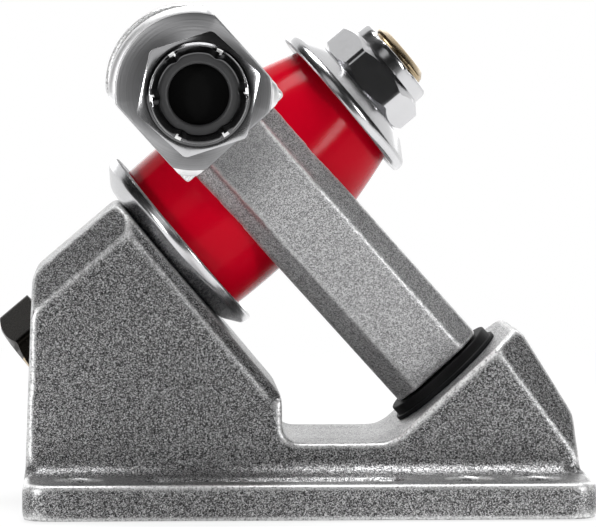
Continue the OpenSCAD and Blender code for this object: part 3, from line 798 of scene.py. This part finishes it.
def make_washers():
    hole = KINGPIN_RADIUS + KINGPIN_HOLE_GAP
    foot = -SEAT_DROP
    floor = foot + WASHER_SHEET
    lip = foot + LOWER_WASHER_HEIGHT
    lower = rounded([(hole, foot, WASHER_EDGE),
                     (LOWER_WASHER_FOOT_RADIUS, foot, LOWER_WASHER_FOOT_ROUND),
                     (LOWER_WASHER_RADIUS, lip - WASHER_SKIRT_HEIGHT, WASHER_SKIRT_ROUND),
                     (LOWER_WASHER_RADIUS, lip, WASHER_LIP_EDGE),
                     (LOWER_WASHER_RADIUS - WASHER_LIP_WIDTH, lip, WASHER_LIP_EDGE),
                     (LOWER_WASHER_FLOOR_RADIUS, floor, LOWER_WASHER_FLOOR_ROUND),
                     (hole, floor, WASHER_EDGE)])
    piece = turned("lower_cup_washer", KINGPIN_PLACE, lower)
    finish_piece(piece, WASHER_CHROME, "lower_washer", "base")
    top = UPPER_BUSHING_TOP + WASHER_SHEET
    rim = UPPER_BUSHING_TOP - UPPER_WASHER_DEPTH
    upper = rounded([(hole, UPPER_BUSHING_TOP, WASHER_EDGE),
                     (UPPER_WASHER_ROOF_RADIUS, UPPER_BUSHING_TOP, UPPER_WASHER_ROOF_ROUND),
                     (UPPER_WASHER_RADIUS - WASHER_LIP_WIDTH, rim, WASHER_LIP_EDGE),
                     (UPPER_WASHER_RADIUS, rim, WASHER_LIP_EDGE),
                     (UPPER_WASHER_RADIUS, rim + WASHER_SKIRT_HEIGHT, WASHER_SKIRT_ROUND),
                     (UPPER_WASHER_TOP_RADIUS, top, UPPER_WASHER_TOP_ROUND),
                     (hole, top, WASHER_EDGE)])
    piece = turned("upper_cup_washer", KINGPIN_PLACE, upper)
    finish_piece(piece, WASHER_CHROME, "upper_washer", "upper_stack")


def bushing_side(low, high, radius_low, radius_high, bulge, steps=14):
    """Points up a bushing's side, with a slight barrel bulge."""
    side = []
    for i in range(1, steps):
        share = i / steps
        radius = radius_low + (radius_high - radius_low) * share + bulge * math.sin(math.pi * share)
        side.append((radius, low + (high - low) * share))
    return side


def make_bushing(name, node, outline, low, high):
    """Bushing turned about the kingpin, attached to no body, with its place baked into its mesh."""
    bore_steps = range(1, BUSHING_BORE_STEPS)
    bore = [(BUSHING_BORE, high + (low - high) * step / BUSHING_BORE_STEPS) for step in bore_steps]
    piece = turned(name, KINGPIN_PLACE, outline + bore)
    finish_piece(piece, BUSHING_RED, node, None)
    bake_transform(piece)


def make_lower_bushing():
    low = -SEAT_DROP + WASHER_SHEET
    high = -SEAT_WEB
    low_end = rounded([(BUSHING_BORE, low, BUSHING_BORE_EDGE),
                       (BUSHING_RADIUS, low, BUSHING_EDGE),
                       (BUSHING_RADIUS, high, 0.0)])
    high_end = rounded([(BUSHING_RADIUS, low, 0.0),
                        (BUSHING_RADIUS, high, BUSHING_EDGE),
                        (BUSHING_BORE, high, BUSHING_BORE_EDGE)])
    side = bushing_side(low + BUSHING_EDGE, high - BUSHING_EDGE, BUSHING_RADIUS, BUSHING_RADIUS,
                        LOWER_BUSHING_BULGE)
    make_bushing("lower_barrel_bushing", "lower_bushing", low_end[:-1] + side + high_end[1:], low, high)


def make_upper_bushing():
    low = SEAT_WEB
    high = UPPER_BUSHING_TOP
    foot_top = low + BUSHING_FOOT
    low_end = rounded([(BUSHING_BORE, low, BUSHING_BORE_EDGE),
                       (BUSHING_RADIUS, low, BUSHING_EDGE),
                       (BUSHING_RADIUS, foot_top, 0.0)])
    high_end = rounded([(BUSHING_RADIUS, foot_top, 0.0),
                        (BUSHING_TIP_RADIUS, high, BUSHING_EDGE),
                        (BUSHING_BORE, high, BUSHING_BORE_EDGE)])
    side = [(BUSHING_RADIUS, foot_top - BUSHING_FOOT_BAND), (BUSHING_RADIUS, foot_top)]
    side += bushing_side(foot_top, high - BUSHING_EDGE, BUSHING_RADIUS,
                         BUSHING_TIP_RADIUS + BUSHING_TIP_FLARE, UPPER_BUSHING_BULGE)
    make_bushing("upper_cone_bushing", "upper_bushing", low_end[:-1] + side + high_end[1:], low, high)


def make_pivot_cup():
    front = PIVOT_FACE - CUP_FLANGE_THICKNESS
    lip_front = PIVOT_FACE - CUP_LIP_THICKNESS
    hub_radius = CUP_FLANGE_RADIUS - CUP_LIP_WIDTH
    floor = CUP_END - CUP_FLOOR_THICKNESS
    profile = rounded([(CUP_BORE, front, 0.3),
                       (hub_radius, front, 0.25),
                       (hub_radius, lip_front, 0.1),
                       (CUP_FLANGE_RADIUS, lip_front, 0.15),
                       (CUP_FLANGE_RADIUS, PIVOT_FACE, 0.15),
                       (CUP_RADIUS, PIVOT_FACE, 0.1),
                       (CUP_RADIUS, CUP_END, 0.5),
                       (CUP_MIDDLE_RADIUS, CUP_END, 0.0),
                       (CUP_MIDDLE_RADIUS, floor, 0.0),
                       (CUP_BORE * CUP_CONE_SHARE, floor - CUP_CONE_HEIGHT, 0.0),
                       (CUP_BORE, PIVOT_FACE + CUP_STRAIGHT_DEPTH, 0.0)])
    piece = turned("pivot_cup_moulding", PIVOT_PLACE, profile)
    finish_piece(piece, CUP_BLACK, "pivot_cup", "base")


# Nuts, axle and speed rings

def crimp_dent(angle):
    """Share of a crimp's full depth at an angle around a nut's collar."""
    return ((1 + math.cos(CRIMPS * (angle - FIRST_CRIMP))) / 2) ** CRIMP_SHARPNESS


def crimped_row(radius, height, depth):
    """Row of a nut's collar that is pressed in at each crimp."""
    def row(angle):
        dent = depth * crimp_dent(angle)
        return radius - dent, height - dent / 2
    return row


def nut_rows(nut):
    """Closed profile of a lock nut: chamfered hexagon, collar rolled in and crimped, and bore."""
    shoulder = nut.seat + nut.hex_height
    top = shoulder + nut.collar_height
    collar = nut.collar_radius
    recess = collar - COLLAR_WALL
    face = nut.flats / 2 * HEX_FACE_SHARE
    bore = nut.thread_radius + NUT_THREAD_GAP
    return [(nut.thread_radius + NUT_COUNTERSINK, nut.seat),
            (face, nut.seat),
            hex_row(nut.flats, nut.first_angle, nut.seat, nut.chamfer_slope),
            hex_row(nut.flats, nut.first_angle, shoulder, -nut.chamfer_slope),
            (face, shoulder),
            (collar + 0.25, shoulder),
            (collar + 0.05, shoulder + 0.2),
            (collar, shoulder + 0.5),
            (collar - 0.02, top - 0.7),
            crimped_row(collar - 0.08, top - 0.25, 0.05),
            crimped_row(collar - 0.2, top - 0.06, 0.2),
            crimped_row(collar - 0.35, top, 0.3),
            crimped_row(recess - 0.1, top, 0.3),
            crimped_row(recess - 0.25, top - 0.1, 0.2),
            (recess - 0.25, top - 0.4),
            (recess, top - COLLAR_LIP),
            (recess, shoulder + INSERT_GAP),
            (bore, shoulder),
            (bore, nut.seat + NUT_COUNTERSINK)]


def insert_profile(nut, hole):
    """Nylon ring inside a lock nut's collar."""
    outer = nut.collar_radius - COLLAR_WALL - INSERT_SIDE_GAP
    foot = nut.seat + nut.hex_height + INSERT_GAP
    top = nut.seat + nut.hex_height + nut.collar_height - COLLAR_LIP
    return rounded([(hole, foot, 0.1), (outer, foot, 0.1), (outer, top, 0.2), (hole, top, 0.4)])


def make_kingpin_nut():
    piece = turned("kingpin_lock_nut", KINGPIN_PLACE, nut_rows(KINGPIN_NUT))
    finish_piece(piece, NUT_PLATING, "kingpin_nut", "kingpin_nut")
    piece = turned("kingpin_nut_nylon", KINGPIN_PLACE, insert_profile(KINGPIN_NUT, KINGPIN_INSERT_HOLE))
    finish_piece(piece, NYLON, "kingpin_nut_insert", "kingpin_nut")


def darken_collar(piece, place, nut):
    """Gives a nut's collar a darker copy of the plating as a painted dark reflection, apart from the crimps
    in its rim, which get a painted glint.
    """
    piece.data.materials.append(COLLAR_PAINTED_REFLECTION)
    piece.data.materials.append(CRIMP_PAINTED_GLINT)
    to_nut = place.inverted()
    shoulder = nut.seat + nut.hex_height
    rim_foot = shoulder + nut.collar_height - CRIMP_BRIGHT_HEIGHT
    # Collar faces get the painted dark reflection, and the crimp tips a painted glint.
    for face in piece.data.polygons:
        spot = to_nut @ face.center
        if spot.z < shoulder + ON_FACE:
            continue
        on_rim = spot.z > rim_foot and spot.xy.length > nut.collar_radius - CRIMP_BRIGHT_WIDTH
        crimped = on_rim and crimp_dent(math.atan2(spot.y, spot.x)) > CRIMP_BRIGHT_SHARE
        face.material_index = 2 if crimped else 1


def mirrored(row):
    """The same row on the other side of height 0."""
    if callable(row):
        return lambda angle: (row(angle)[0], -row(angle)[1])
    return row[0], -row[1]


def make_axle():
    seat_start = HANGER_END + SPEED_RING_THICKNESS
    right = [(AXLE_GRIP_RADIUS, HANGER_END),
             (AXLE_RELIEF_RADIUS, HANGER_END),
             (AXLE_RELIEF_RADIUS, seat_start - AXLE_RELIEF_EDGE),
             (AXLE_RADIUS, seat_start)]
    right += threaded_end_rows(AXLE_RADIUS, AXLE_THREAD_FOOT, AXLE_HALF_LENGTH, AXLE_TIP_CHAMFER)
    left = [mirrored(row) for row in reversed(right)]
    piece = turned("axle_rod", AXLE_PLACES["right"], left + right, closed=False)
    finish_piece(piece, AXLE_STEEL, "axle", "hanger")
    piece.data.materials.append(AXLE_END_PAINTED_SHADE)
    # Faces past the nut's seat get the painted shade.
    for face in piece.data.polygons:
        if abs(face.center.y) > AXLE_NUT.seat * MM:
            face.material_index = 1


def make_axle_nut(side):
    place = AXLE_PLACES[side]
    node = f"axle_nut_{side}"
    piece = turned(f"axle_lock_nut_{side}", place, nut_rows(AXLE_NUT), first_angle=AXLE_NUT.first_angle)
    finish_piece(piece, NUT_PLATING, node, node)
    darken_collar(piece, place, AXLE_NUT)
    piece = turned(f"axle_nut_nylon_{side}", place, insert_profile(AXLE_NUT, AXLE_INSERT_HOLE))
    finish_piece(piece, NYLON, f"axle_nut_insert_{side}", node)


def make_speed_ring(kind, side, foot, body):
    """Thin washer on the axle, with a faint gap to what it sits on."""
    hole = AXLE_RADIUS + RING_HOLE_GAP
    near_face = foot + RING_GAP
    far_face = foot + SPEED_RING_THICKNESS
    profile = rounded([(hole, near_face, RING_HOLE_EDGE),
                       (SPEED_RING_RADIUS, near_face, RING_NEAR_EDGE),
                       (SPEED_RING_RADIUS, far_face, RING_FAR_EDGE),
                       (hole, far_face, RING_HOLE_EDGE)])
    piece = turned(f"{kind}_speed_washer_{side}", AXLE_PLACES[side], profile)
    finish_piece(piece, RING_STEEL, f"{kind}_speed_ring_{side}", body)


make_baseplate()
make_hanger()
make_kingpin()
make_washers()
make_lower_bushing()
make_upper_bushing()
make_kingpin_nut()
make_pivot_cup()
make_axle()
for axle_side in SIDES:
    make_axle_nut(axle_side)
    make_speed_ring("inner", axle_side, HANGER_END, f"inner_speed_ring_{axle_side}")
    make_speed_ring("outer", axle_side, AXLE_NUT.seat - SPEED_RING_THICKNESS, f"nut_stack_{axle_side}")


# Studio, in metres

CAMERA_SPOT = Vector((-0.0252, -0.580, 0.0640))
CAMERA_TARGET = Vector((-0.0006, 0.0, 0.0337))
FOCAL_LENGTH = 246.0
SENSOR_WIDTH = 36.0
LIGHT_TARGET = Vector((0.0, 0.0, 0.035))
FLOOR_DROP = 0.0002
FLOOR_COLOUR = (0.9, 0.9, 0.9, 1.0)
ROOM_COLOUR = (0.01, 0.01, 0.01, 1.0)


def aim(thing, spot, target):
    """Puts a camera or lamp on its spot and turns it to its target."""
    thing.location = spot
    thing.rotation_euler = (target - Vector(spot)).to_track_quat("-Z", "Y").to_euler()


def make_camera():
    camera = bpy.data.objects.new("camera", bpy.data.cameras.new("camera"))
    bpy.context.scene.collection.objects.link(camera)
    camera.data.sensor_fit = "HORIZONTAL"
    camera.data.sensor_width = SENSOR_WIDTH
    camera.data.lens = FOCAL_LENGTH
    camera.data.clip_start = 0.01
    aim(camera, CAMERA_SPOT, CAMERA_TARGET)
    bpy.context.scene.camera = camera


def make_world(light_level):
    """White for the camera and for what the metal mirrors, and a plain level of soft light."""
    world = bpy.data.worlds.new("studio")
    bpy.context.scene.world = world
    world.use_nodes = True
    tree = world.node_tree
    path = add_node(tree, "ShaderNodeLightPath")
    white = (1.0, 1.0, 1.0)
    reflected = mix_colour(tree, path.outputs["Is Glossy Ray"], (light_level,) * 3, white)
    shown = mix_colour(tree, path.outputs["Is Camera Ray"], reflected, white)
    tree.links.new(shown, tree.nodes["Background"].inputs["Color"])


def stage_mesh(name, corners, faces):
    mesh = bpy.data.meshes.new(name)
    mesh.from_pydata(corners, [], faces)
    piece = link_mesh(name, mesh)
    return piece


def make_floor(size, near, far):
    """White floor that keeps the truck's soft shadow near it, and is as white as the room far from it."""
    half = size / 2
    corners = [(x, y, -FLOOR_DROP) for x, y in ((-half, -half), (half, -half), (half, half), (-half, half))]
    floor = stage_mesh("floor", corners, [(0, 1, 2, 3)])
    material, tree, shader = new_material("floor white", Base_Color=FLOOR_COLOUR, Roughness=0.9,
                                          Specular_IOR_Level=0.0)
    path = add_node(tree, "ShaderNodeLightPath")
    spot = add_node(tree, "ShaderNodeTexCoord")
    distance = calculate_vector(tree, "LENGTH", spot.outputs["Object"])
    fade = rise_between(tree, distance, near, far, "SMOOTHSTEP")
    reflected = calculate(tree, "MULTIPLY", path.outputs["Is Glossy Ray"], fade)
    shown = calculate(tree, "MULTIPLY", path.outputs["Is Camera Ray"], spread_over(tree, fade, 0.85, 1.0))
    glow = add_node(tree, "ShaderNodeEmission", Strength=1.0)
    mix = add_node(tree, "ShaderNodeMixShader")
    tree.links.new(calculate(tree, "MAXIMUM", reflected, shown), mix.inputs[0])
    tree.links.new(shader.outputs[0], mix.inputs[1])
    tree.links.new(glow.outputs[0], mix.inputs[2])
    tree.links.new(mix.outputs[0], tree.nodes["Material Output"].inputs["Surface"])
    floor.data.materials.append(material)


def make_dark_room(half_width, front, back, height, table_edge):
    """Dark walls, ceiling and front floor for the chrome's dark bands. The camera doesn't see them."""
    above_floor = 0.001
    walls = (-half_width, half_width)
    corners = [(x, y, z) for x in walls for y in (front, back) for z in (above_floor, height)]
    corners += [(x, table_edge, above_floor) for x in walls]
    front_wall = (0, 4, 5, 1)
    left_wall = (0, 1, 3, 2)
    right_wall = (4, 6, 7, 5)
    ceiling = (1, 5, 7, 3)
    front_floor = (0, 8, 9, 4)
    room = stage_mesh("dark room", corners, [front_wall, left_wall, right_wall, ceiling, front_floor])
    room.data.materials.append(new_material("room dark", Base_Color=ROOM_COLOUR, Roughness=0.9)[0])
    room.visible_camera = False
    room.visible_diffuse = False
    room.visible_shadow = False


def make_lamp(name, spot, size, watts):
    lamp = bpy.data.objects.new(name, bpy.data.lights.new(name, "AREA"))
    bpy.context.scene.collection.objects.link(lamp)
    lamp.data.shape = "RECTANGLE"
    lamp.data.size, lamp.data.size_y = size
    lamp.data.energy = watts
    lamp.visible_camera = False
    aim(lamp, spot, LIGHT_TARGET)


make_camera()
make_world(light_level=0.35)
make_floor(size=6.0, near=0.12, far=0.3)
make_dark_room(half_width=1.2, front=-1.2, back=0.6, height=1.2, table_edge=-0.22)
make_lamp("overhead strip", (0.0, 0.0, 0.7), size=(0.4, 0.25), watts=5.2)
make_lamp("back softbox", (0.0, 0.9, 0.35), size=(1.4, 0.5), watts=2.4)
make_lamp("left softbox", (-0.6, -0.7, 0.14), size=(0.14, 0.24), watts=2.9)
make_lamp("right softbox", (0.6, -0.7, 0.14), size=(0.12, 0.24), watts=2.5)
make_lamp("front softbox", (-0.3, -0.85, 0.5), size=(0.5, 0.4), watts=0.4)
bpy.context.scene.view_settings.view_transform = "Standard"
